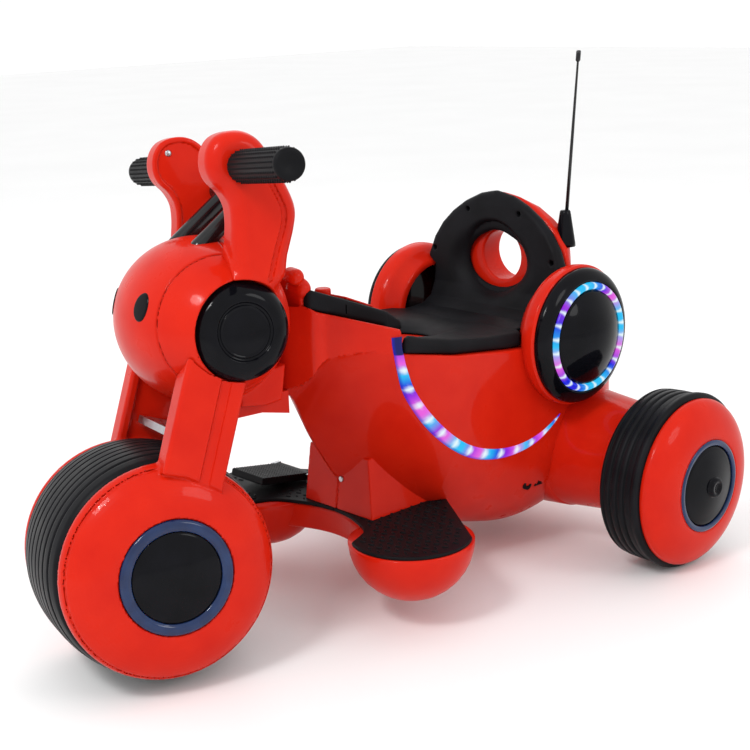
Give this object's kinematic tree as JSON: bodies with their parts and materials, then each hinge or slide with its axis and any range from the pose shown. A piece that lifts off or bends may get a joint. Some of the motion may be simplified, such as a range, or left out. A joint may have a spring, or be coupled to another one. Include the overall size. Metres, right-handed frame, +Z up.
{
  "type": "battery ride-on trike",
  "caption": "Child's battery ride-on trike with a round head, steered front wheel, saddle with backrest, LED light strips and a mast.",
  "frame": {"origin": "on the ground at the centre of the outer box", "axes": "-Y towards the front wheel, +X to the rider's left, +Z up; the steering rests turned 18.5 degrees to the rider's right"},
  "size_m": [0.587, 0.8261, 0.6059],
  "materials": {
    "red_shell": "high-gloss moulded red plastic",
    "black_trim": "satin black moulded plastic with fine grain",
    "gloss_black": "piano black plastic",
    "tyre_black": "ribbed blow-moulded black plastic",
    "grip_rubber": "moulded rubber with raised studs",
    "navy_ring": "dark blue tinted plastic",
    "led_lens": "clear light strip with coloured lamps",
    "black_steel": "gloss black painted steel",
    "bare_steel": "zinc plated steel",
    "rim_plastic": "plain moulded black plastic",
    "inner_parts": "plain parts inside the body"
  },
  "bodies": {
    "root": {"body_shell_left": "red_shell", "body_shell_right": "red_shell", "neck_arm": "red_shell", "neck_cover": "red_shell", "console": "black_trim", "pod_housings": "red_shell", "pod_domes": "gloss_black", "led_rings": "led_lens", "led_strips": "led_lens", "saddle": "black_trim", "backrest_shell": "red_shell", "axle_housings": "red_shell", "rear_axle": "bare_steel", "battery": "inner_parts", "control_board": "inner_parts", "motor_gearbox": "inner_parts", "power_panel": "black_trim", "foot_bowls": "red_shell", "deck_bridge": "red_shell", "pedestal": "red_shell", "body_screws": "bare_steel", "foot_mats": "grip_rubber", "pedal_hinge": "bare_steel", "antenna_base": "grip_rubber", "antenna_whip": "black_steel"},
    "steering": {"head_front_shell": "red_shell", "head_rear_shell": "red_shell", "lamp_lenses": "gloss_black", "speaker_bezels": "gloss_black", "speaker_cones": "gloss_black", "handle_stalk_left": "red_shell", "handle_stalk_right": "red_shell", "handlebar_tubes": "black_steel", "grip_left": "grip_rubber", "grip_right": "grip_rubber", "steering_column": "bare_steel", "fork_cover_left": "red_shell", "fork_cover_right": "red_shell", "front_hub_rings": "navy_ring", "front_hub_caps": "gloss_black", "front_axle": "bare_steel", "steering_fasteners": "bare_steel"},
    "front_wheel": {"front_tyre": "tyre_black", "front_rim": "rim_plastic", "front_bushes": "rim_plastic"},
    "rear_wheel_left": {"rear_tyre_left": "tyre_black", "rear_rim_left": "rim_plastic", "rear_disc_left": "red_shell", "rear_hub_ring_left": "navy_ring", "rear_hub_cap_left": "gloss_black", "drive_dog": "rim_plastic"},
    "rear_wheel_right": {"rear_tyre_right": "tyre_black", "rear_rim_right": "rim_plastic", "rear_disc_right": "red_shell", "rear_hub_ring_right": "navy_ring", "rear_hub_cap_right": "gloss_black"},
    "pedal": {"accelerator_pedal": "grip_rubber"},
    "rocker": {"power_rocker": "black_trim"},
    "button_left": {"sound_button_left": "red_shell"},
    "button_right": {"sound_button_right": "red_shell"}
  },
  "joints": [
    {"name": "steering_turn", "type": "hinge", "parent": "root", "child": "steering", "pos_m": [0, -0.26525, 0.12005], "axis": [0, 0.342, 0.9397], "range_deg": [-11.5, 48.5]},
    {"name": "front_wheel_spin", "type": "hinge", "parent": "steering", "child": "front_wheel", "pos_m": [-0.00596, -0.28434, 0.11972], "axis": [0.9483, -0.2982, 0.1085], "continuous": true},
    {"name": "rear_left_spin", "type": "hinge", "parent": "root", "child": "rear_wheel_left", "pos_m": [0, 0.30675, 0.1063], "axis": [1, 0, 0], "continuous": true},
    {"name": "rear_right_spin", "type": "hinge", "parent": "root", "child": "rear_wheel_right", "pos_m": [0, 0.30675, 0.1063], "axis": [1, 0, 0], "continuous": true},
    {"name": "pedal_press", "type": "hinge", "parent": "root", "child": "pedal", "pos_m": [-0.124, 0.01675, 0.107], "axis": [1, 0, 0], "range_deg": [0, 8], "stiffness_Nm_per_rad": 0.4, "springref_deg": -8.59},
    {"name": "power_switch", "type": "hinge", "parent": "root", "child": "rocker", "pos_m": [0.101, 0.21475, 0.096], "axis": [0, 0, 1], "range_deg": [-16, 0]},
    {"name": "button_left_press", "type": "slide", "parent": "root", "child": "button_left", "axis": [0, 0, -1], "range_m": [0, 0.002], "stiffness_N_per_m": 200, "springref_m": -0.003},
    {"name": "button_right_press", "type": "slide", "parent": "root", "child": "button_right", "axis": [0, 0, -1], "range_m": [0, 0.002], "stiffness_N_per_m": 200, "springref_m": -0.003}
  ]
}
